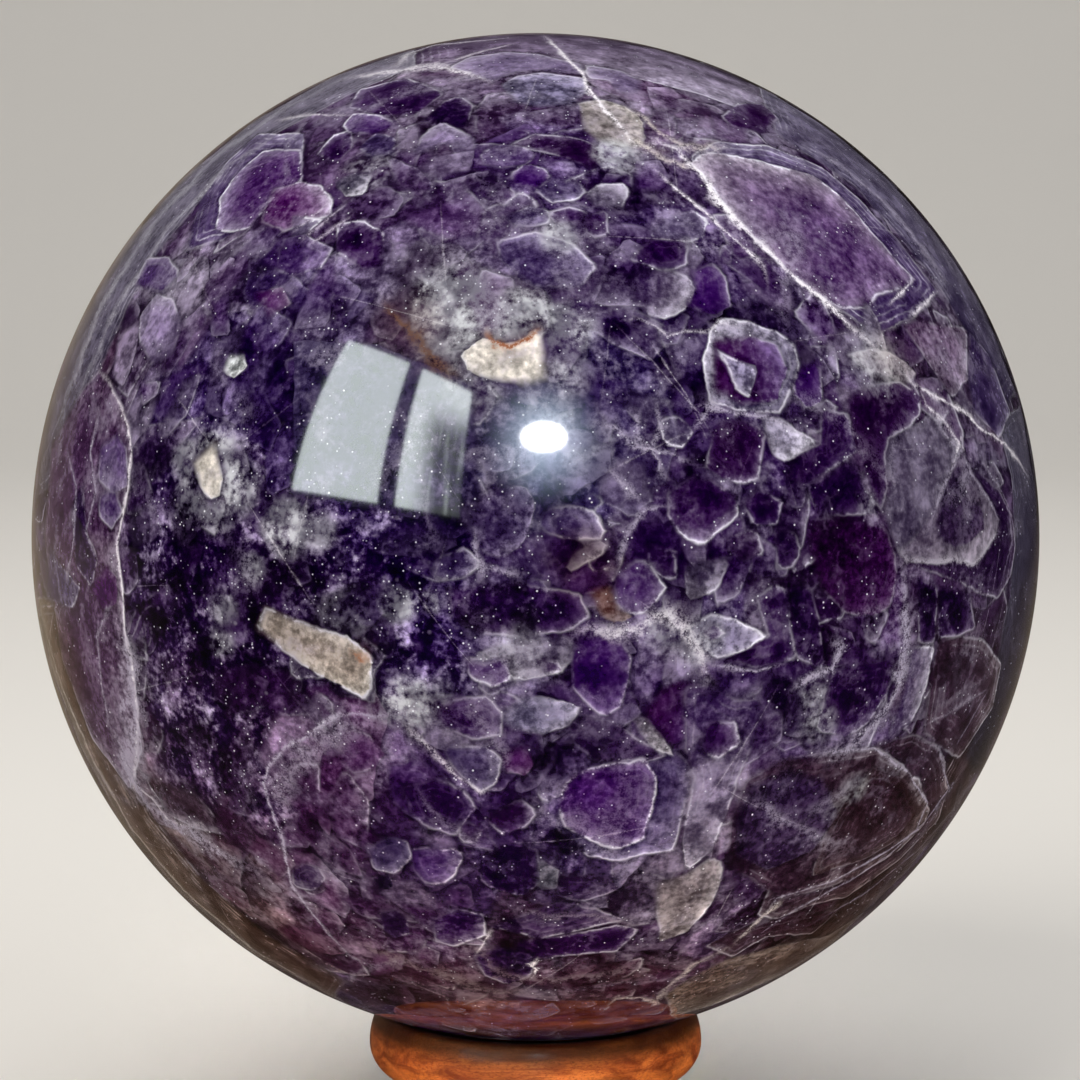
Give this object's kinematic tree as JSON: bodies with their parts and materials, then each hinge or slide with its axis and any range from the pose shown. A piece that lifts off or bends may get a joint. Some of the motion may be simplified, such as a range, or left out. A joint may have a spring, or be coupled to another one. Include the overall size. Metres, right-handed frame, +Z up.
{
  "type": "decorative sphere",
  "caption": "Polished amethyst ball, solid and round, resting loose in a small turned wooden ring stand with a dished seat; a shelf or desk ornament.",
  "frame": {"origin": "centre of the stand's underside, on the surface that the object stands on", "axes": "+Z up through the centres of the stand and the ball; -Y is the side that faces the viewer, +X is to the viewer's right"},
  "size_m": [0.1, 0.1, 0.1127],
  "materials": {
    "polished_amethyst": "polished, violet to near black with milky lilac bands and white veins",
    "lacquered_wood": "turned, red-brown, glossy lacquer"
  },
  "bodies": {
    "root": {"amethyst_ball": "polished_amethyst", "ring_stand": "lacquered_wood"}
  },
  "joints": []
}
